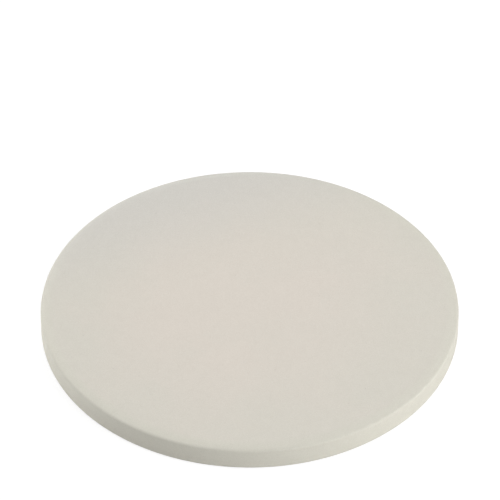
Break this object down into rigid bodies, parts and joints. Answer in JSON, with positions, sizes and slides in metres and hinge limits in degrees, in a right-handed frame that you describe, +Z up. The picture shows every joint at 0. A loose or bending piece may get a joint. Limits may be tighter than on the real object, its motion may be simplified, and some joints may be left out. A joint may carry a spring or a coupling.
{
  "type": "pizza stone",
  "caption": "Round flat slab of unglazed fired ceramic with a softly rounded rim, laid on an oven or grill rack to bake pizza and bread on.",
  "frame": {"origin": "centre of the flat underside, where the stone rests", "axes": "+Z up, out of the baking face; the stone is round about Z, so X and Y are any two level directions at right angles"},
  "size_m": [0.355, 0.355, 0.0222],
  "materials": {
    "fired_ceramic": "matte"
  },
  "bodies": {
    "root": {"stone": "fired_ceramic"}
  },
  "joints": []
}
